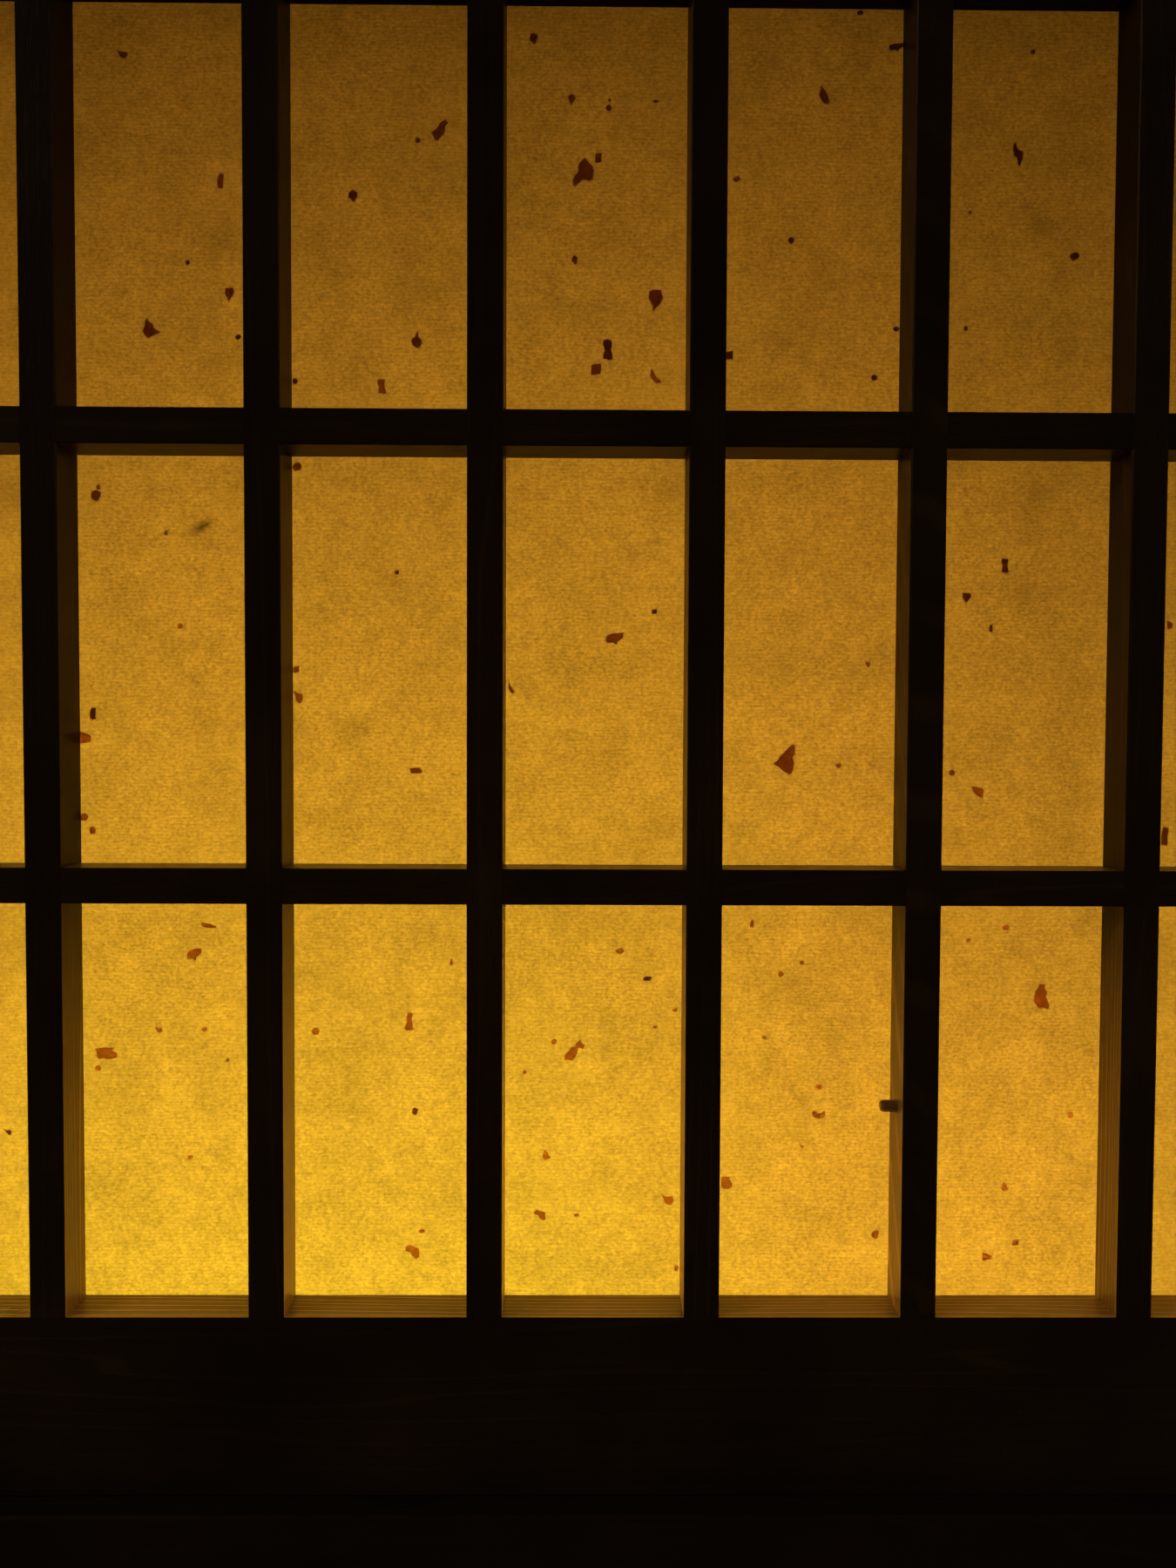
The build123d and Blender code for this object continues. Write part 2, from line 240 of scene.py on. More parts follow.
sky = bpy.data.worlds.new("sky")
sky.use_nodes = True
sky_nodes = sky.node_tree.nodes
light_path = sky_nodes.new("ShaderNodeLightPath")
seen_or_lighting = sky_nodes.new("ShaderNodeMapRange")
seen_or_lighting.inputs["To Min"].default_value = SKY_LIGHT
seen_or_lighting.inputs["To Max"].default_value = SKY_SEEN
sky.node_tree.links.new(light_path.outputs["Is Camera Ray"], seen_or_lighting.inputs["Value"])
sky.node_tree.links.new(seen_or_lighting.outputs[0], sky_nodes["Background"].inputs["Strength"])
sky_nodes["Background"].inputs["Color"].default_value = PALE
bpy.context.scene.world = sky
print("the floor is", FLOOR_SIDE, "m square")

# %% [markdown]
# Two big soft lamps light the room side, and a long low one stands behind the leaves. Its light comes
# through the paper, strongest near the floor, which is how the real screen was lit. The two in front
# stand well to the sides, so that the dark bars don't mirror them. A lamp's strength is chosen by what
# it does to a white card: at level 1 the card shows as pure white.


# %% Lamps
def soft_lamp(name, place, aim, size, level, spread=180.0):
    """An oblong lamp that lights a white card at its aim to the given level, when the card faces it.
    A card at distance d from a lamp of power P sends back P / (pi squared times d squared)."""
    light = bpy.data.lights.new(name, "AREA")
    light.shape = "RECTANGLE"
    light.size, light.size_y = size
    light.spread = math.radians(spread)
    away = Vector(aim) - Vector(place)
    light.energy = level * math.pi**2 * away.length_squared
    lamp = bpy.data.objects.new(name, light)
    lamp.matrix_world = Matrix.Translation(place) @ away.to_track_quat("-Z", "Y").to_matrix().to_4x4()
    lamp.visible_camera = False
    bpy.context.scene.collection.objects.link(lamp)
    print(name, "gives", round(light.energy), "W from", round(away.length, 2), "m")
    return lamp


ROOM_AIM = (0.2, 0.0, 0.8)
BEHIND = (0.34, 1.80, 0.125)
BEHIND_AIM = (0.34, 0.0, 0.125)

soft_lamp("left_softbox", (-3.4, -2.0, 2.8), ROOM_AIM, (1.8, 1.8), 0.78)
soft_lamp("right_softbox", (3.7, -1.5, 2.0), ROOM_AIM, (1.5, 1.5), 0.34)
lamp_behind = soft_lamp("lamp_behind_the_paper", BEHIND, BEHIND_AIM, (1.15, 0.28), 0.575, spread=52.0)

# %% [markdown]
# The timber is softwood. Its grain is a solid pattern: bands for the year rings, bent a little by a slow
# noise, run right through each piece along its length, and fine pores lie in them as short dark
# streaks. Because the pattern fills space, the rings meet at the corners and show as end grain where a
# piece is cut across. A pattern is drawn out along the grain by shrinking the place in that direction.

# %% Year rings and pores
RING_SPACING = 0.0042
RING_WANDER = 0.0120
BAND_LENGTH = 0.314  # one band of Blender's wave texture at scale 1
WANDER_SCALE = 16.0
PORE_SCALE = 1300.0
PORE_PEAKS = (0.60, 0.72)
ALONG_THE_GRAIN = {X: (0.06, 1.0, 1.0), Z: (1.0, 1.0, 0.06)}
PORES_ALONG = {X: (0.035, 1.0, 1.0), Z: (1.0, 1.0, 0.035)}
USUAL_SLANT = {X: (math.radians(20), 0.0, 0.0), Z: (0.0, 0.0, math.radians(55))}
BANDS_CROSS = {X: "Y", Z: "X"}


def year_rings(recipe, place, grain, spacing, slant, ridge):
    """One on the hard crest of each ring, falling to nothing beside it. The rings are a sine wave across
    the grain, whose place is pushed to and fro by a slow noise that is drawn out along the grain."""
    wander = recipe.noise(recipe.stretched(place, ALONG_THE_GRAIN[grain]), WANDER_SCALE)
    shift = recipe.sums("MULTIPLY_ADD", wander, RING_WANDER * 4, -RING_WANDER * 2)
    across = recipe.stretched(place, ALONG_THE_GRAIN[grain], slant or USUAL_SLANT[grain])
    pushed = recipe.moved(across, shift)
    inputs = {"Vector": pushed, "Scale": BAND_LENGTH / spacing, "Distortion": 1.2, "Detail": 1.5}
    rings = recipe.add("TexWave", inputs, bands_direction=BANDS_CROSS[grain], wave_profile="SIN")
    return recipe.ramp(rings.outputs["Fac"], ridge, 1.0)


def fine_pores(recipe, place, grain):
    """One in a pore and nothing beside it: the peaks of a fine noise, drawn out far along the grain."""
    fine = recipe.noise(recipe.stretched(place, PORES_ALONG[grain]), PORE_SCALE, 1.0)
    return recipe.ramp(fine, *PORE_PEAKS)


print("the year rings stand", round(RING_SPACING / MM, 1), "mm apart")

# %% [markdown]
# The fronts are left as they are. Inside the cells, low down near the floor, the walls get a painted
# glow:
# a paler colour with a soft sheen, which stands in for the light that the glowing paper throws on them.
# Higher up the painted glow is faint. How deep a place lies in its cell is how far it is behind the front
# of its own leaf's lattice. The rear leaf stands one pitch behind the front one, so what is left over
# when the distance is divided by the pitch is the depth in both.

# %% Where the glow is painted
LATTICE_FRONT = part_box("front_leaf_upright_bar_1")[0].y
LEAF_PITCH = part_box("rear_leaf_upright_bar_1")[0].y - LATTICE_FRONT
# The painted glow of the paper's light on the cell walls begins these depths behind the front and fades
# with height.
GLOW_BEGINS_BEHIND_FRONT = (0.6 * MM, 1.2 * MM)
PAINTED_GLOW_STARTS = (0.10, 0.152)
PAINTED_GLOW_FADES = (0.165, 0.48)
FAINT_GLOW_ENDS = (0.40, 0.90)
FAINT_GLOW = (0.12, 0.015)


def depth_inside(recipe, y):
    """How far a place is behind the front of its own leaf's lattice."""
    behind_the_front = recipe.sums("SUBTRACT", y, LATTICE_FRONT)
    return recipe.sums("FLOORED_MODULO", behind_the_front, LEAF_PITCH)


def dust_on(recipe, height, depth):
    """The share of painted glow: all of it just above the sill, less and less upwards, and none in front.
    """
    off_the_sill = recipe.ramp(height, *PAINTED_GLOW_STARTS)
    near_the_floor = recipe.ramp(height, *PAINTED_GLOW_FADES, 1.0, 0.0)
    higher_up = recipe.ramp(height, *FAINT_GLOW_ENDS, *FAINT_GLOW)
    low_down = recipe.sums("MAXIMUM", near_the_floor, higher_up)
    not_in_front = recipe.ramp(depth, *GLOW_BEGINS_BEHIND_FRONT)
    return recipe.sums("MULTIPLY", recipe.sums("MULTIPLY", off_the_sill, low_down), not_in_front)


print("the rear lattice stands", round(LEAF_PITCH, 4), "m behind the front one")

# %% [markdown]
# The colours are laid over one another. First comes the stain, nearly black. Inside the cells, low down,
# a painted glow stands in for the paper's light on the walls and turns the stain a pale brown with a soft
# sheen, redder where the glow is faint. Both are paler on the crests of the rings, which the years have
# worn, and just inside the front the glow becomes a painted highlight along the edges. The pores stay
# dark. The whole is a little darker higher up, a painted shade. Where the glow is painted, the crests
# also stand up as fine ridges. Every CAD node is stained here, also the two flat sheets of paper, which
# modelled ones replace below.

# %% Stained timber
STAIN = (0.0042, 0.0020, 0.0006, 1.0)
STAIN_WORN = (0.0056, 0.0027, 0.0008, 1.0)
STAIN_PORE = (0.0020, 0.0011, 0.0006, 1.0)
# Colours of the painted glow, the paper's light on the cell walls: low down, higher up, and palest on
# crests and edges.
GLOWING = (0.0580, 0.0218, 0.0014, 1.0)
GLOWING_HIGHER = (0.0850, 0.0215, 0.0012, 1.0)
GLOWING_PALEST = (0.2450, 0.1030, 0.0070, 1.0)
WEAR_SCALE = 30.0
WEAR_BETWEEN = (0.35, 0.60)
WEAR = (0.3, 1.0)
# A painted highlight along the edges just inside the front, within the painted glow.
EDGE_HIGHLIGHT_DEPTHS = (1.0 * MM, 3.0 * MM)
EDGE_HIGHLIGHT = (0.8, 0.0)
PORES_DARKEN = 0.7
SHADE_SCALE = 9.0
SHADES_BETWEEN = (0.25, 0.75)
SHADES = (0.72, 1.28)
# Painted shade: the colour darkens between these heights.
PAINTED_SHADE_BETWEEN = (0.35, 1.0)
PAINTED_SHADE = (1.02, 0.66)
CLEAN_SHINE = 0.015
GLOW_SHINE = 0.31
GLOW_SHEEN = 0.55
RIDGE_HEIGHT = 0.25 * MM


def timber(
    name, grain, seed, tone=1.0, gloss=0.34, spacing=RING_SPACING, slant=None, ridge=0.91, glow_share=1.0
):
    """Dark stained softwood with its grain along X or Z, and its rings turned by the slant's angles."""
    recipe = Recipe(name)
    here = recipe.here()
    parted = recipe.add("SeparateXYZ", {0: here})
    height = parted.outputs["Z"]
    depth = depth_inside(recipe, parted.outputs["Y"])
    # The share of painted glow, which also brings the sheen and the shine.
    glow_and_sheen = recipe.sums("MULTIPLY", dust_on(recipe, height, depth), glow_share)
    place = recipe.moved(here, (seed, seed, seed))
    ridges = year_rings(recipe, place, grain, spacing, slant, ridge)
    pores = fine_pores(recipe, place, grain)
    patches = recipe.noise(recipe.stretched(place, ALONG_THE_GRAIN[grain]), WEAR_SCALE, 3.0)
    clear_ridges = recipe.sums("MULTIPLY", ridges, recipe.ramp(patches, *WEAR_BETWEEN, *WEAR))
    # The painted highlight along the edges just inside the front, where there is painted glow.
    edge_highlight = recipe.sums("MULTIPLY", recipe.ramp(depth, *EDGE_HIGHLIGHT_DEPTHS, *EDGE_HIGHLIGHT), glow_and_sheen)
    worn_and_edge_highlight = recipe.sums("MAXIMUM", clear_ridges, edge_highlight)
    clean = recipe.blend(worn_and_edge_highlight, STAIN, STAIN_WORN)
    browner = recipe.blend(recipe.ramp(height, *PAINTED_SHADE_BETWEEN), GLOWING, GLOWING_HIGHER)
    glowing = recipe.blend(worn_and_edge_highlight, browner, GLOWING_PALEST)
    ringed = recipe.blend(glow_and_sheen, clean, glowing)
    pored = recipe.blend(recipe.sums("MULTIPLY", pores, PORES_DARKEN), ringed, STAIN_PORE)
    darkest, palest = SHADES[0] * tone, SHADES[1] * tone
    uneven = recipe.ramp(recipe.noise(place, SHADE_SCALE, 3.0), *SHADES_BETWEEN, darkest, palest)
    # Random unevenness, times a painted shade that darkens higher up.
    shade = recipe.sums("MULTIPLY", uneven, recipe.ramp(height, *PAINTED_SHADE_BETWEEN, *PAINTED_SHADE))
    raised = recipe.sums("MULTIPLY_ADD", pores, -0.3, recipe.sums("MULTIPLY", ridges, glow_and_sheen))
    bump = recipe.add("Bump", {"Height": raised, "Strength": 0.4, "Distance": RIDGE_HEIGHT})
    shine = recipe.sums("MULTIPLY_ADD", glow_and_sheen, GLOW_SHINE, CLEAN_SHINE) if glow_share else CLEAN_SHINE
    shader = recipe.add(
        "BsdfPrincipled",
        {
            "Base Color": recipe.scaled(pored, shade),
            "Roughness": recipe.sums("MULTIPLY_ADD", pores, 0.16, gloss),
            "Specular IOR Level": shine,
            "Specular Tint": (1.0, 0.50, 0.12, 1.0),
            "Sheen Weight": recipe.sums("MULTIPLY", glow_and_sheen, GLOW_SHEEN) if glow_share else 0.0,
            "Sheen Roughness": 0.35,
            "Sheen Tint": (1.0, 0.50, 0.08, 1.0),
            "Normal": bump.outputs[0],
        },
    )
    return recipe.finish(shader.outputs[0])


upright_timber = timber("upright_timber", Z, 3.1)
level_timber = timber("level_timber", X, 7.7)
SWEEPING = (math.radians(24), 0.0, math.radians(85))
figured_timber = timber("figured_timber", Z, 5.3, spacing=0.023, slant=SWEEPING, ridge=0.72)
jamb_timber = timber("jamb_timber", Z, 6.2, glow_share=0.0)
head_and_sill_timber = timber("head_and_sill_timber", X, 2.8, tone=0.7, gloss=0.45, glow_share=0.0)
peg_timber = timber("peg_timber", X, 1.9, tone=4.0, glow_share=0.3)
runner_timber = timber("runner_timber", X, 9.4, tone=9.0, gloss=0.22, spacing=0.0026, glow_share=0.0)


def timber_for(name):
    """Which timber a piece is made of. One bar was sawn at a slant to the trunk, so its figure sweeps."""
    if name == "front_leaf_upright_bar_5":
        return figured_timber
    if name.endswith("peg"):
        return peg_timber
    if name.endswith("slip_strip"):
        return runner_timber
    if name.endswith("jamb"):
        return jamb_timber
    if name in ("head", "sill"):
        return head_and_sill_timber
    return upright_timber if name.endswith("stile") or "upright_bar" in name else level_timber


for name, node in frame["nodes"].items():
    for slot in node.material_slots:
        slot.material = timber_for(name)
print("stained", len(frame["nodes"]), "CAD nodes")

# %% [markdown]
# The sheet of paper is pasted to the back of the lattice, so it lies dead flat on the timber. In each
# cell it is free, and there it has dried with a slight cockle. It is made as a fine grid whose points
# move in and out by about a quarter of a millimetre at most. The grid's lines fall on the edges of the
# cells, so the paper leaves the timber in a clean line.

# %% The sheet of paper
COCKLE = 0.28 * MM
GRID_STEP = 6.5 * MM
WAVES = (  # length, direction in degrees, start in degrees
    (93 * MM, 12.0, 40.0),
    (61 * MM, 78.0, 130.0),
    (47 * MM, 140.0, 15.0),
)
SHARP_EDGE = math.radians(35)


def hump(values, spans):
    """Nothing outside the spans. Inside one, the sine of pi times the share of it that is passed."""
    share = (values[..., None] - spans[:, 0]) / (spans[:, 1] - spans[:, 0])
    inside = (share > 0) & (share < 1)
    return np.where(inside, np.sin(np.pi * share), 0.0).sum(-1)


def freedom(lattice, x, z):
    """How free the paper is: nothing on the timber, one in the middle of a cell."""
    return hump(x, lattice.columns) * hump(z, lattice.rows)


def cockle(lattice, x, z):
    """How far the paper stands out of its plane, away from the room: the mean of a few slow sine waves,
    each running its own way, times the paper's freedom."""
    total = np.zeros_like(x)
    for length, direction, start in WAVES:
        along = x * math.cos(math.radians(direction)) + z * math.sin(math.radians(direction))
        total = total + np.sin(2 * np.pi * along / length + math.radians(start))
    return COCKLE * freedom(lattice, x, z) * total / len(WAVES)


def new_piece(name, points, faces, body, slot, finish, **numbers):
    """A mesh object at the origin, with its place in its points, that rides on a body. Each further array
    gives the mesh a number at each of its points, for the finish to read."""
    mesh = bpy.data.meshes.new(name)
    mesh.from_pydata(np.asarray(points).tolist(), [], [face.tolist() for face in faces])
    for title, values in numbers.items():
        mesh.attributes.new(title, "FLOAT", "POINT").data.foreach_set("value", values.astype(np.float32))
    mesh.materials.append(finish)
    mesh.shade_smooth()
    mesh.set_sharp_from_angle(angle=SHARP_EDGE)
    piece = bpy.data.objects.new(name, mesh)
    bpy.context.scene.collection.objects.link(piece)
    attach(piece, body)
    print(name, "has", len(mesh.vertices), "points and", len(mesh.polygons), "faces")
    return piece


def quads(grid):
    """The faces between the neighbours in a grid of point numbers."""
    return np.stack([grid[:-1, :-1], grid[:-1, 1:], grid[1:, 1:], grid[1:, :-1]], -1).reshape(-1, 4)


def grid_lines(start, end, spans):
    """Places from start to end, GRID_STEP apart inside each span, with one on each span's edge."""
    inner = [np.linspace(*span, round((span[1] - span[0]) / GRID_STEP) + 1) for span in spans]
    return np.concatenate([[start], *inner, [end]])


def sheet_of_paper(lattice, finish):
    """A closed sheet: a front and a back grid, one sheet's thickness apart, and a band round the edge."""
    start, end = lattice.paper_low, lattice.paper_high
    across, up = grid_lines(start.x, end.x, lattice.columns), grid_lines(start.z, end.z, lattice.rows)
    x, z = np.meshgrid(across, up)
    out = cockle(lattice, x, z)
    front = np.stack([x, start.y + out, z], -1)
    back = np.stack([x, end.y + out, z], -1)
    numbers = np.arange(x.size).reshape(x.shape)
    rim = np.concatenate([numbers[0, :], numbers[1:, -1], numbers[-1, -2::-1], numbers[-2::-1, 0]])
    edge = np.stack([rim, rim + x.size])
    faces = np.concatenate([quads(numbers), quads(numbers + x.size)[:, ::-1], quads(edge)[:, ::-1]])
    points = np.concatenate([front.reshape(-1, 3), back.reshape(-1, 3)])
    piece = new_piece(f"{lattice.leaf}_sheet", points, faces, lattice.leaf, "paper", finish)
    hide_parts(f"{lattice.leaf}_paper")


print("the paper cockles by", round(COCKLE / MM, 2), "mm at most")

# %% [markdown]
# Light falls on the paper from both sides, so its finish has two parts: one sends light back, and the
# other lets it through. The sheet is closed, with two faces, so light that comes through passes both of
# them, and each face lets about the square root of the whole sheet's share pass. The pulp is uneven:
# there are slow clouds, a fine curdled grain, and faint level ribs from the slats of the maker's mould.
# The front sheet is orange above and yellow below, though less so towards the right: painted light, the
# yellow that paper shows where the lamp behind shines brightest. It also has a few soft stains, each a
# bell curve across its middle. The first two in column 1, row 1 are a painted shadow, the blurred shadow
# of a flake behind the sheet. The last three are broad: two are painted shade where less light comes
# through, and the last, which lightens the sheet, is a painted pool of light.

# %% Amber paper
SENDS_BACK = (0.22, 0.090, 0.0060)
# Painted light: the paper is yellower low down, where the lamp behind shines brightest.
YELLOW_BELOW = (0.53, 0.400, 0.082, 1.0)
ORANGE_ABOVE = (0.53, 0.335, 0.086, 1.0)
ORANGE_FROM = 0.93
LESS_YELLOW_BETWEEN = (0.40, 0.66)
LESS_YELLOW = (1.0, 0.5)
SHARE_THROUGH = 0.76
RIB_SPACING = 2.1 * MM
RIB_WAVER = 0.004
CLOUDS = (0.56, 0.72)  # how much the pattern adds to the paper's clearness, and what it leaves at least
CURDS = (0.94, 0.53)
RIBS = (0.09, 0.955)
FLECKS = (0.10, 0.95)
CLOUD_SCALE = 21.0
CURD_SCALE = 430.0
FLECK_SCALE = 150.0
WAVER_SCALE = 60.0
STAINS_AND_PAINTED_LIGHT = (  # column, row, across and up in the cell, width, height, lean in degrees, strength
    (1, 2, 86, 108, 22, 16, 0, 0.13),
    (4, 2, 40, 50, 30, 24, 0, 0.11),
    (5, 2, 65, 119, 12, 12, 0, 0.09),
    # The next two are a painted shadow, the blurred shadow of a flake behind the sheet.
    (1, 1, 75, 204, 9, 3.4, 27, 0.42),
    (1, 1, 71, 201, 13, 5.5, 35, 0.22),
    (2, 1, 39, 83, 22, 15, 0, 0.13),
    (2, 1, 62, 171, 10, 7, 0, 0.13),
    (2, 1, 30, 207, 16, 12, 0, 0.08),
    (3, 1, 95, 22, 24, 12, 0, 0.09),
    (3, 1, 99, 227, 18, 10, 0, 0.10),
    (5, 1, 55, 166, 16, 14, 0, 0.09),
    # The last three are painted: two darken as painted shade, and the last lightens as a painted pool of
    # light.
    (3, 0, 54, 225, 600, 200, 0, 0.05),
    (5, 1, 70, 270, 160, 600, 0, 0.075),
    (5, 0, 70, 50, 160, 220, 0, -0.07),
)


def stained(recipe, here, clearness, stains_and_painted_light):
    """The clearness, less each mark's share of it: stains, and painted light and shade. A mark's share is
    half its strength where the place, measured from its middle in halves of its width and height, is one
    away."""
    for column, row, across, up, width, height, lean, strength in stains_and_painted_light:
        middle = (front.columns[column, 0] + across * MM, 0.0, front.rows[row, 0] + up * MM)
        size = (width / 2 * MM, 1.0, height / 2 * MM)
        turn = (0.0, math.radians(-lean), 0.0)
        inputs = {"Vector": here, "Location": middle, "Rotation": turn, "Scale": size}
        away = recipe.add("Mapping", inputs, vector_type="TEXTURE").outputs[0]
        squared = recipe.add("VectorMath", {0: away, 1: away}, operation="DOT_PRODUCT").outputs["Value"]
        left = recipe.sums("MULTIPLY_ADD", recipe.sums("POWER", 0.5, squared), -strength, 1.0)
        clearness = recipe.sums("MULTIPLY", clearness, left)
    return clearness


def pulp(recipe, here):
    """How clear the paper is from place to place: clouds times curds times ribs times flecks. The ribs
    are level waves that waver a little."""
    clouds = recipe.noise(here, CLOUD_SCALE, 5.0, 0.86)
    curds = recipe.noise(recipe.stretched(here, (1.0, 1.0, 1.35)), CURD_SCALE, 2.0, 0.80)
    flecks = recipe.noise(here, FLECK_SCALE, 1.0)
    waver = recipe.noise(recipe.stretched(here, (1.0, 1.0, 2.5)), WAVER_SCALE)
    level = recipe.moved(here, recipe.sums("MULTIPLY", waver, RIB_WAVER))
    inputs = {"Vector": level, "Scale": BAND_LENGTH / RIB_SPACING, "Distortion": 0.0}
    ribs = recipe.add("TexWave", inputs, bands_direction="Z").outputs["Fac"]
    cloudy = recipe.sums("MULTIPLY_ADD", clouds, *CLOUDS)
    grainy = recipe.sums("MULTIPLY_ADD", curds, *CURDS)
    ribbed = recipe.sums("MULTIPLY_ADD", ribs, *RIBS)
    flecked = recipe.sums("MULTIPLY_ADD", flecks, *FLECKS)
    clearness = recipe.sums("MULTIPLY", recipe.sums("MULTIPLY", cloudy, grainy), ribbed)
    return recipe.sums("MULTIPLY", clearness, flecked), curds


def amber_paper(name, below, stains_and_painted_light=()):
    """Handmade paper: part of the light comes back and the rest goes through. Low down, what goes through
    takes the colour given, which for the front sheet is a painted light, yellower where the lamp shines
    most."""
    recipe = Recipe(name)
    here = recipe.here()
    clearness, curds = pulp(recipe, here)
    clearness = stained(recipe, here, clearness, stains_and_painted_light)
    parted = recipe.add("SeparateXYZ", {0: here})
    # Painted light: yellower low down and less so towards the right.
    from_above = recipe.ramp(parted.outputs["Z"], front.rows[0, 0], ORANGE_FROM, 1.0, 0.0, "LINEAR")
    to_the_right = recipe.ramp(parted.outputs["X"], *LESS_YELLOW_BETWEEN, *LESS_YELLOW)
    yellow = recipe.sums("MULTIPLY", recipe.sums("POWER", from_above, 1.4), to_the_right)
    shade = recipe.blend(yellow, ORANGE_ABOVE, below)
    bump = recipe.add("Bump", {"Height": curds, "Strength": 0.25, "Distance": 0.1 * MM}).outputs[0]
    back = recipe.scaled(SENDS_BACK, clearness)
    reflecting = recipe.add("BsdfDiffuse", {"Color": back, "Normal": bump}).outputs[0]
    passing = recipe.add("BsdfTranslucent", {"Color": recipe.scaled(shade, clearness)}).outputs[0]
    both = recipe.add("MixShader", {0: SHARE_THROUGH, 1: reflecting, 2: passing})
    return recipe.finish(both.outputs[0])


sheet_of_paper(front, amber_paper("front_paper_painted_light", YELLOW_BELOW, STAINS_AND_PAINTED_LIGHT))
sheet_of_paper(rear, amber_paper("amber_paper", ORANGE_ABOVE))

# %% [markdown]
# The paper maker dropped torn scraps of red leaf into the pulp. Each scrap starts from one of the
# outlines below. They are drawn in a box one unit wide and high, clockwise, round a heart from which
# every point of the rim can be seen, so a scrap can be filled by rings that shrink towards its heart.

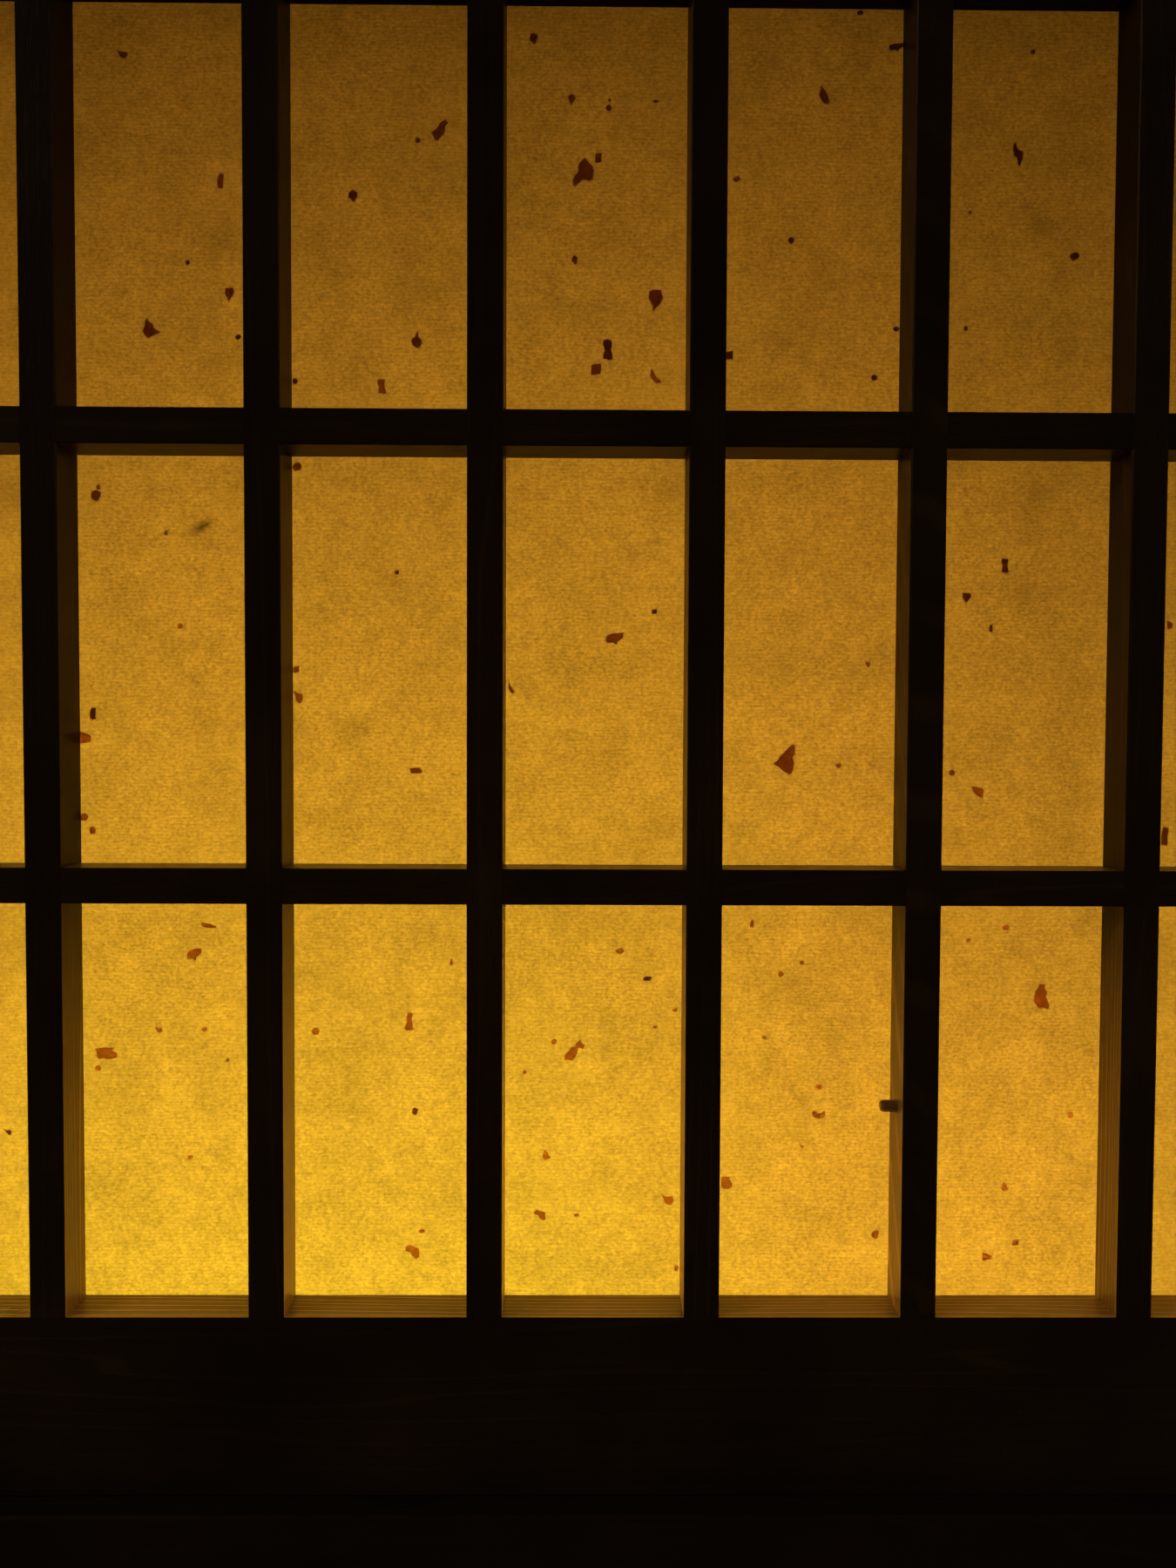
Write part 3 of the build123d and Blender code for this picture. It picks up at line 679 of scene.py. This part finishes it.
# %% The outlines of the flakes
HEARTS = {
    "hood": (-0.04, 0.10),
    "sail": (-0.28, -0.16),
    "jar": (-0.02, 0.08),
    "bone": (0.16, 0.14),
    "kite": (-0.18, -0.20),
    "wedge": (0.04, 0.18),
    "drop": (0.0, 0.12),
    "blade": (-0.22, 0.04),
    "raft": (-0.08, 0.0),
    "hook": (0.10, 0.10),
    "spindle": (-0.05, -0.10),
    "comma": (0.0, 0.0),
    "shield": (-0.30, 0.0),
    "spike": (0.05, -0.15),
    "keel": (0.05, 0.05),
    "bean": (0.05, -0.15),
    "flag": (0.15, 0.0),
    "boot": (0.05, -0.10),
}
OUTLINES = {
    "hood": [
        (0.07, 0.50), (0.22, 0.33), (0.43, 0.21), (0.50, -0.01), (0.44, -0.25), (0.29, -0.31),
        (0.02, -0.24), (-0.22, -0.36), (-0.41, -0.50), (-0.50, -0.38), (-0.42, -0.12), (-0.26, 0.0),
        (-0.26, 0.20), (-0.12, 0.36),
    ],
    "sail": [
        (0.34, 0.50), (0.47, 0.42), (0.50, 0.16), (0.39, 0.10), (0.47, -0.10), (0.40, -0.39),
        (0.26, -0.50), (-0.13, -0.33), (-0.50, -0.18), (-0.49, -0.10), (-0.35, -0.07), (-0.13, 0.16),
    ],
    "jar": [
        (-0.27, 0.48), (0.17, 0.50), (0.16, 0.32), (0.34, 0.20), (0.21, 0.05), (0.36, -0.15),
        (0.50, -0.34), (0.33, -0.48), (-0.04, -0.44), (-0.26, -0.50), (-0.30, -0.34), (-0.50, -0.19),
        (-0.49, 0.09), (-0.43, 0.28), (-0.24, 0.34),
    ],
    "bone": [
        (0.28, 0.50), (0.34, 0.32), (0.50, 0.19), (0.40, 0.03), (0.19, 0.09), (0.11, -0.11),
        (-0.13, -0.50), (-0.48, -0.48), (-0.50, -0.26), (-0.34, -0.11), (-0.23, 0.07), (-0.01, 0.13),
        (0.07, 0.32),
    ],
    "kite": [
        (-0.23, 0.50), (-0.16, 0.34), (0.11, 0.21), (0.18, -0.03), (0.50, -0.23), (0.05, -0.39),
        (-0.20, -0.50), (-0.36, -0.35), (-0.50, -0.12), (-0.36, 0.08),
    ],
    "wedge": [
        (0.33, 0.50), (0.50, 0.36), (0.30, 0.21), (0.26, -0.18), (-0.07, -0.50), (-0.30, -0.50),
        (-0.50, -0.13), (-0.02, 0.30),
    ],
    "drop": [
        (-0.47, 0.43), (0.34, 0.50), (0.50, 0.18), (0.16, -0.20), (-0.16, -0.50), (-0.25, -0.20),
        (-0.50, 0.08),
    ],
    "blade": [(-0.33, 0.50), (0.50, -0.35), (0.38, -0.50), (0.04, -0.50), (-0.50, -0.04)],
    "raft": [
        (-0.50, 0.41), (0.32, 0.50), (0.27, 0.22), (0.50, 0.02), (0.45, -0.33), (0.15, -0.47),
        (-0.13, -0.41), (-0.26, -0.50), (-0.45, -0.16), (-0.40, -0.02),
    ],
    "chip": [(-0.40, 0.30), (0.10, 0.50), (0.50, 0.10), (0.30, -0.45), (-0.25, -0.50), (-0.50, -0.10)],
    "strip": [(-0.20, 0.50), (0.50, 0.42), (0.35, -0.10), (0.40, -0.50), (-0.45, -0.45), (-0.50, 0.0)],
    "spindle": [
        (0.0, 0.50), (0.20, 0.42), (0.15, 0.20), (0.50, -0.05), (0.35, -0.40), (0.10, -0.50),
        (-0.35, -0.30), (-0.50, 0.0), (-0.10, 0.20),
    ],
    "lozenge": [
        (-0.10, 0.50), (0.50, 0.25), (0.30, -0.35), (0.0, -0.50), (-0.50, -0.15), (-0.40, 0.30),
    ],
    "block": [(-0.45, 0.40), (0.50, 0.50), (0.45, -0.40), (-0.50, -0.50)],
    "lens": [(-0.50, 0.0), (-0.20, 0.40), (0.20, 0.50), (0.50, 0.05), (0.20, -0.40), (-0.20, -0.50)],
    "waist": [
        (-0.40, 0.50), (0.40, 0.48), (0.30, 0.05), (0.50, -0.40), (0.20, -0.50), (-0.45, -0.45),
        (-0.30, 0.0), (-0.50, 0.30),
    ],
    "comma": [(-0.50, 0.50), (0.0, 0.20), (0.40, 0.25), (0.50, -0.15), (0.20, -0.50), (-0.20, -0.30)],
    "hook": [
        (-0.50, 0.32), (-0.20, 0.50), (0.10, 0.36), (0.46, 0.22), (0.50, -0.35), (0.25, -0.50),
        (-0.04, -0.25), (-0.14, 0.02), (-0.44, 0.05),
    ],
    "dart": [(-0.50, 0.50), (0.10, 0.30), (0.50, -0.12), (0.45, -0.50), (-0.10, -0.40), (-0.45, -0.15)],
    "flag": [(-0.50, 0.50), (0.10, 0.34), (0.50, 0.22), (0.42, -0.50), (0.05, -0.30), (-0.28, -0.02)],
    "boot": [
        (-0.15, 0.50), (0.35, 0.48), (0.28, 0.10), (0.50, -0.42), (0.10, -0.50), (-0.50, -0.40),
        (-0.24, 0.0),
    ],
    "keel": [
        (-0.50, -0.15), (-0.42, 0.25), (-0.15, 0.40), (0.50, 0.50), (0.42, 0.05), (0.15, -0.20),
        (0.12, -0.50), (-0.10, -0.30), (-0.40, -0.35),
    ],
    "shield": [
        (-0.50, 0.50), (0.10, 0.30), (0.50, 0.05), (0.25, 0.0), (0.45, -0.25), (-0.10, -0.35),
        (-0.50, -0.50),
    ],
    "splinter": [
        (-0.42, 0.50), (-0.20, 0.48), (-0.02, 0.22), (0.50, 0.10), (0.42, -0.20), (0.20, -0.50),
        (0.02, -0.42), (-0.10, -0.15), (-0.38, -0.05), (-0.50, 0.20),
    ],
    "bean": [
        (-0.50, 0.35), (-0.30, 0.50), (-0.10, 0.10), (0.20, 0.15), (0.40, 0.45), (0.50, 0.20),
        (0.45, -0.30), (0.10, -0.50), (-0.30, -0.40), (-0.50, -0.05),
    ],
    "spike": [(0.50, 0.50), (0.20, 0.0), (0.35, -0.50), (-0.50, -0.45), (-0.35, 0.05), (0.10, 0.20)],
}
print("there are", len(OUTLINES), "outlines")

# %% [markdown]
# Fifteen cells of the front leaf fill the photograph, and there the flakes lie where they lie on the real
# screen. Each line below gives a flake's outline, where its middle is in the cell, from the cell's lower
# left corner, how wide and how high it is, in millimetres, and its tone, from 0 for a black one to 1
# for the palest. Everywhere else on both sheets the flakes are strewn at random.

# %% The flakes that can be seen
SEEN = {  # (column, row): outline, across, up, width, height, tone
    (1, 2): [
        ("comma", 29, 216, 5.6, 4.6, 0.14), ("strip", 87, 142, 3, 8, 0.2),
        ("drop", 92, 75, 4.6, 7.8, 0.14), ("kite", 45, 55, 10, 11.5, 0.12),
        ("chip", 67, 94, 1.9, 1.9, 0.04), ("lens", 97, 50, 3.2, 2.2, 0.04),
    ],
    (2, 2): [
        ("wedge", 89, 173, 9.6, 11.6, 0.15), ("chip", 76, 167, 2.3, 2.3, 0.1),
        ("lozenge", 37, 134, 4.6, 6.6, 0.08), ("spindle", 75, 49, 5.8, 9.2, 0.12),
        ("waist", 54, 21, 4.4, 7.6, 0.25), ("chip", 2, 24, 2.4, 2.4, 0.05),
    ],
    (3, 2): [
        ("lozenge", 16, 227, 4.2, 6, 0.15), ("drop", 39, 191, 3.3, 5.8, 0.2),
        ("chip", 61, 187, 2.8, 3, 0.1), ("chip", 61.5, 191.5, 1, 1, 0.1), ("lens", 89, 191, 2.8, 1, 0.1),
        ("hood", 46, 149, 12, 17.2, 0.14), ("block", 55, 157.5, 3.1, 4.8, 0.14),
        ("lozenge", 41, 97, 2.8, 4.6, 0.08), ("drop", 90, 73, 7.8, 12.6, 0.1),
        ("waist", 61, 43.5, 5.4, 11, 0.03), ("block", 54, 32, 5.2, 5.8, 0.14),
        ("blade", 90, 28.5, 6.2, 8.4, 0.35),
    ],
    (4, 2): [
        ("blade", 61, 196, 5.5, 10.5, 0.15), ("keel", 104, 224, 8.4, 4.5, 0.05),
        ("block", 5.5, 41, 3, 5, 0.04), ("chip", 82, 244, 3, 2, 0.1), ("lens", 9, 145.5, 4, 2.6, 0.25),
        ("lozenge", 42, 109.5, 2.8, 3.6, 0.04), ("chip", 93, 28.5, 3.2, 2.8, 0.04),
        ("chip", 106, 57.5, 3.2, 2, 0.04),
    ],
    (5, 2): [
        ("splinter", 49, 161.5, 5.5, 14, 0.03), ("lens", 84, 101.5, 5.8, 4, 0.06),
        ("chip", 57, 222, 2, 2, 0.1), ("chip", 20.5, 127, 1.1, 1.1, 0.1), ("chip", 19, 58, 2, 2, 0.1),
    ],
    (1, 1): [
        ("lozenge", 11, 222, 5.2, 6.2, 0.14), ("chip", 12.5, 227, 1.8, 2.2, 0.26),
        ("strip", 53, 200, 1.3, 2.2, 0.32), ("chip", 61, 144, 2.6, 2.4, 0.32),
        ("strip", 8, 91, 3, 6.5, 0.06), ("shield", 3, 76, 7.4, 7.4, 0.28), ("chip", 2, 28, 4, 4, 0.37),
        ("chip", 7, 20, 3.3, 4, 0.37),
    ],
    (2, 1): [
        ("lens", 3, 240, 5, 4.4, 0.14), ("chip", 63, 177, 1.8, 1.8, 0.0),
        ("block", 2, 118, 2.6, 3.2, 0.27), ("comma", 3, 101.5, 5, 7.6, 0.4),
        ("raft", 74.5, 57, 7.2, 2.8, 0.18),
    ],
    (3, 1): [
        ("keel", 66, 137.5, 10.4, 6.6, 0.2), ("block", 90, 154, 2.4, 2, 0.02),
        ("blade", 3.3, 107.7, 3, 6.5, 0.2),
    ],
    (4, 1): [
        ("sail", 41, 64.7, 12, 18, 0.2), ("lens", 74, 61, 3, 2, 0.37), ("comma", 91, 123, 2.4, 4, 0.42),
    ],
    (5, 1): [
        ("waist", 45, 182.7, 4, 8.6, 0.1), ("drop", 22, 163, 4.6, 5.8, 0.08),
        ("strip", 37, 145, 1.2, 4, 0.1), ("chip", 14.5, 57, 3, 2.8, 0.42), ("flag", 30, 45, 7, 7.2, 0.3),
    ],
    (6, 1): [
        ("shield", 17.5, 147, 3, 5, 0.3), ("strip", 16.8, 18.5, 3.5, 11.5, 0.15),
    ],
    (1, 0): [
        ("dart", 77, 229, 8, 2.6, 0.4), ("keel", 68, 211, 8.4, 6.8, 0.5),
        ("comma", 46, 165, 3.8, 3.6, 0.8), ("lens", 74, 165, 3, 1.6, 0.6),
        ("raft", 14, 150, 13, 6.2, 0.65), ("chip", 9, 141, 3, 2.5, 0.9),
        ("strip", 88, 146, 1.2, 1.2, 0.6), ("chip", 65, 86, 2, 2, 0.9),
    ],
    (2, 0): [
        ("boot", 70, 170, 4.8, 10, 0.5), ("chip", 13, 164, 3.7, 3.7, 0.8),
        ("lozenge", 73.7, 114.6, 2.8, 4, 0.15), ("strip", 96, 207, 0.9, 2.8, 0.8),
        ("chip", 78, 40, 3, 1.5, 0.8), ("hook", 72, 27, 7.6, 8.2, 0.7),
    ],
    (3, 0): [
        ("lens", 70, 214, 4.6, 2.6, 0.45), ("strip", 87, 197, 4.5, 1.7, 0.05),
        ("bone", 42.7, 153, 11.6, 12.6, 0.5), ("chip", 30, 158, 2.6, 2.4, 1),
        ("chip", 104, 178, 2, 1.6, 0.8), ("lens", 92, 167, 2.2, 0.9, 0.6), ("chip", 12, 139, 1.5, 2, 0.8),
        ("kite", 25.7, 87.7, 4.6, 6.4, 0.8), ("hook", 21.5, 50, 6.4, 6, 0.6),
        ("lens", 44, 50, 2.4, 1.2, 0.8), ("comma", 100, 60, 7, 6.6, 0.75), ("chip", 106, 17, 2, 3, 0.9),
    ],
    (4, 0): [
        ("strip", 22, 231, 1.5, 4, 0.5), ("chip", 40, 200, 2.4, 2.4, 0.75),
        ("chip", 53, 207, 1.8, 1.8, 0.8), ("comma", 30, 161, 2.4, 2, 0.6),
        ("block", 64, 130, 3.2, 2.2, 0.9), ("bean", 64, 113, 6.8, 4, 0.55),
        ("comma", 54, 93, 2.4, 2, 0.8), ("raft", 7.5, 70, 6.4, 7, 0.7),
        ("lozenge", 100, 38, 4, 4.8, 0.65),
    ],
    (5, 0): [
        ("chip", 49, 229, 3.4, 2.6, 0.8), ("chip", 26, 221, 2, 1.4, 0.7),
        ("jar", 72, 186, 8.6, 14.4, 0.35), ("chip", 91, 113, 2.5, 3, 0.7),
        ("kite", 51, 68.4, 3.4, 5.8, 0.7), ("block", 58, 33, 3.2, 2.8, 0.65),
        ("shield", 41, 24, 5.2, 4.5, 0.5),
    ],
}
print("placed by hand:", sum(len(flakes) for flakes in SEEN.values()), "flakes")

# %% [markdown]
# A flake lies in the thickness of the sheet. It is modelled as a thin closed plate that passes through
# the paper: its rim is in the middle of the sheet, and inside the rim it swells until it just shows on
# both faces. Over timber it stays inside the paper, because nothing can lie between the two where they
# are pasted together. A wet flake spreads a little, and light that strays round its rim hides that much
# of it again, so each one is made a little bigger than it looks.

# %% The shape of a flake
SHOWS_BY = 0.07 * MM
RING_SHARE = 0.84
TORN_FROM = 4.0 * MM
TORN_BY = 0.12
SPREADS_BY = 0.56 * MM


def torn(outline, random):
    """The outline with one more point near the middle of each side, moved in or out by a small random
    share of the side's length, as a leaf tears."""
    following = np.roll(outline, -1, axis=0)
    side = following - outline
    outward = np.stack([-side[:, 1], side[:, 0]], -1)
    share = random.uniform(0.35, 0.65, len(outline))[:, None]
    push = random.uniform(-TORN_BY, TORN_BY, len(outline))[:, None]
    return np.stack([outline, outline + side * share + outward * push], 1).reshape(-1, 2)


def flake(lattice, kind, middle, size, turn, tone, random):
    """The points, faces, tones and rim shares of one flake. Its rings are the outline, shrunk towards the
    heart, then stretched to the flake's size, turned, and moved to its middle. Each ring shows in front,
    and again behind."""
    outline = np.array(OUTLINES[kind])
    heart = np.array(HEARTS.get(kind, (0.0, 0.0)))
    if max(size) > TORN_FROM:
        outline = torn(outline, random)
    count = len(outline)
    spread = np.array(size) + 2 * SPREADS_BY
    flat = np.concatenate([outline, heart + (outline - heart) * RING_SHARE, [heart]]) * spread
    cosine, sine = math.cos(turn), math.sin(turn)
    x = middle[0] + flat[:, 0] * cosine - flat[:, 1] * sine
    z = middle[1] + flat[:, 0] * sine + flat[:, 1] * cosine
    start, end = lattice.paper_low.y, lattice.paper_high.y
    half_sheet = (end - start) / 2
    swell = np.where(np.arange(len(flat)) < count, 0.0, 1.0)
    shows = np.where(freedom(lattice, x, z) > 0, SHOWS_BY, -SHOWS_BY)
    mid_sheet = (start + end) / 2 + cockle(lattice, x, z)
    front = np.stack([x, mid_sheet - swell * (half_sheet + shows), z], -1)
    behind = np.stack([x, mid_sheet + swell * (half_sheet + SHOWS_BY), z], -1)[count:]
    now = np.arange(count)
    after = np.roll(now, -1)
    middle_point = np.full(count, 2 * count)
    bevel = np.stack([after, now, now + count, after + count], -1)
    cap = np.stack([after + count, now + count, middle_point], -1)
    to_back = count + 1
    back_bevel = np.stack([now, after, after + count + to_back, now + count + to_back], -1)
    back_cap = (cap + to_back)[:, ::-1]
    points = np.concatenate([front, behind])
    faces = [*bevel, *cap, *back_bevel, *back_cap]
    rim = np.where(np.arange(len(points)) < count, 1.0, 0.0)
    return points, faces, np.full(len(points), tone), rim


print("a flake shows by", round(SHOWS_BY / MM, 2), "mm on each face")

# %% [markdown]
# The flakes that the photograph shows are put in their places. The others fall at random, as they do
# into the vat: most are small, a few are long, and no two lie close together.

# %% Where the flakes lie
FLAKES_PER_CELL = 7.0
SPACING = 9.0 * MM
FROM_THE_EDGE = 9.0 * MM
USUAL_LENGTH = 3.6 * MM
LENGTHS_VARY = 0.55
LONGEST = 16.0 * MM
WIDTH_SHARES = (0.5, 0.9)
TONES = (1.6, 2.4)
SMALL_KINDS = ["chip", "lens", "strip", "lozenge", "comma"]


def seen_flakes(lattice, random):
    """The flakes of the cells that the photograph shows."""
    for (column, row), flakes in SEEN.items():
        for kind, across, up, width, height, tone in flakes:
            middle = (lattice.columns[column, 0] + across * MM, lattice.rows[row, 0] + up * MM)
            yield flake(lattice, kind, middle, (width * MM, height * MM), 0.0, tone, random)


def strewn_flakes(lattice, random, kept_clear):
    """Flakes at random over the sheet, no two of them close together and none in the box kept clear. A
    flake's length is the usual one, times e to the power of a number from a bell curve."""
    low_x, high_x = lattice.paper_low.x + FROM_THE_EDGE, lattice.paper_high.x - FROM_THE_EDGE
    low_z, high_z = lattice.paper_low.z + FROM_THE_EDGE, lattice.paper_high.z - FROM_THE_EDGE
    cell = (lattice.columns[1, 0] - lattice.columns[0, 0]) * (lattice.rows[1, 0] - lattice.rows[0, 0])
    wanted = round((high_x - low_x) * (high_z - low_z) / cell * FLAKES_PER_CELL)
    taken = np.empty((0, 2))
    for spot in random.uniform((low_x, low_z), (high_x, high_z), (wanted, 2)):
        near = np.hypot(*(taken - spot).T) < SPACING
        cleared = kept_clear is not None and (kept_clear[0] < spot).all() and (spot < kept_clear[1]).all()
        if near.any() or cleared:
            continue
        taken = np.vstack([taken, spot])
        length = min(USUAL_LENGTH * math.exp(random.normal(0.0, LENGTHS_VARY)), LONGEST)
        kinds = list(OUTLINES) if length > TORN_FROM else SMALL_KINDS
        size = (length * random.uniform(*WIDTH_SHARES), length)
        tone = random.beta(*TONES)
        kind = str(random.choice(kinds))
        yield flake(lattice, kind, spot, size, random.uniform(0, 2 * np.pi), tone, random)


def flakes_of(lattice, flakes, finish):
    """All the flakes of one sheet, as one piece."""
    points, faces, tones, rims = [], [], [], []
    made = 0
    for some_points, some_faces, some_tones, some_rims in flakes:
        faces += [face + made for face in some_faces]
        points.append(some_points)
        tones.append(some_tones)
        rims.append(some_rims)
        made += len(some_points)
    points, tones, rims = np.concatenate(points), np.concatenate(tones), np.concatenate(rims)
    name = f"{lattice.leaf}_flakes"
    new_piece(name, points, faces, lattice.leaf, "paper", finish, tone=tones, rim=rims)


print("a cell has about", FLAKES_PER_CELL, "flakes, less those that would lie too close")

# %% [markdown]
# The flakes are brown-red, and light comes through them more or less, by their tone. Their torn rims
# hold more pulp and look a little darker. Tones from 0 to 0.3 go from black to brown, and from there on
# they go from brown to pale.

# %% Leaf flakes
FLAKE_SENDS_BACK = (0.05, 0.010, 0.004, 1.0)
BLACK_FLAKE = (0.34, 0.17, 0.11, 1.0)
BROWN_FLAKE = (0.72, 0.47, 0.30, 1.0)
PALE_FLAKE = (0.98, 0.68, 0.52, 1.0)
FLAKE_SHARE_THROUGH = 0.85
MOTTLE_SCALE = 500.0
RIM_DARKENS = -0.10


def leaf_flake():
    """Scraps of leaf in the pulp, from black ones to ones that let most of the red light through."""
    recipe = Recipe("leaf_flake")
    tone = recipe.attribute("tone")
    mottle = recipe.noise(recipe.here(), MOTTLE_SCALE)
    uneven = recipe.sums("MULTIPLY_ADD", mottle, 0.5, 0.75)
    clear = recipe.sums("MULTIPLY_ADD", recipe.attribute("rim"), RIM_DARKENS, 1.0)
    darker = recipe.blend(recipe.sums("MULTIPLY", tone, 3.3), BLACK_FLAKE, BROWN_FLAKE)
    toned = recipe.blend(recipe.sums("MULTIPLY_ADD", tone, 1.43, -0.43), darker, PALE_FLAKE)
    through = recipe.scaled(toned, recipe.sums("MULTIPLY", uneven, clear))
    reflecting = recipe.add("BsdfDiffuse", {"Color": FLAKE_SENDS_BACK}).outputs[0]
    passing = recipe.add("BsdfTranslucent", {"Color": through}).outputs[0]
    both = recipe.add("MixShader", {0: FLAKE_SHARE_THROUGH, 1: reflecting, 2: passing})
    return recipe.finish(both.outputs[0])


scraps = leaf_flake()
print("the flakes let", FLAKE_SHARE_THROUGH, "of the light into their colour")

# %% [markdown]
# Both sheets get their flakes. The part of the front sheet that the photograph shows is kept clear of
# flakes that fall at random. The seed of the random numbers is fixed, so every run gives the same paper.

# %% The flakes in the paper
SEED = 1603
luck = np.random.default_rng(SEED)
seen_left, seen_right = front.columns[0, 0] + 88 * MM, front.columns[6, 0] + 26 * MM
seen_foot, seen_top = front.rows[0, 0] - 5 * MM, front.rows[2, 1] + 5 * MM
seen_box = np.array([(seen_left, seen_foot), (seen_right, seen_top)])
flakes_of(front, [*seen_flakes(front, luck), *strewn_flakes(front, luck, seen_box)], scraps)
flakes_of(rear, strewn_flakes(rear, luck, None), scraps)

# %% [markdown]
# The lamp behind is kept to the screen by a list of what it may light. Left to itself it would also burn
# a white patch into the floor.

# %% What the lamp behind lights
lit_from_behind = bpy.data.collections.new("lit_from_behind")
for piece in bpy.context.scene.objects:
    if piece.type == "MESH" and piece != floor:
        lit_from_behind.objects.link(piece)
lamp_behind.light_linking.receiver_collection = lit_from_behind
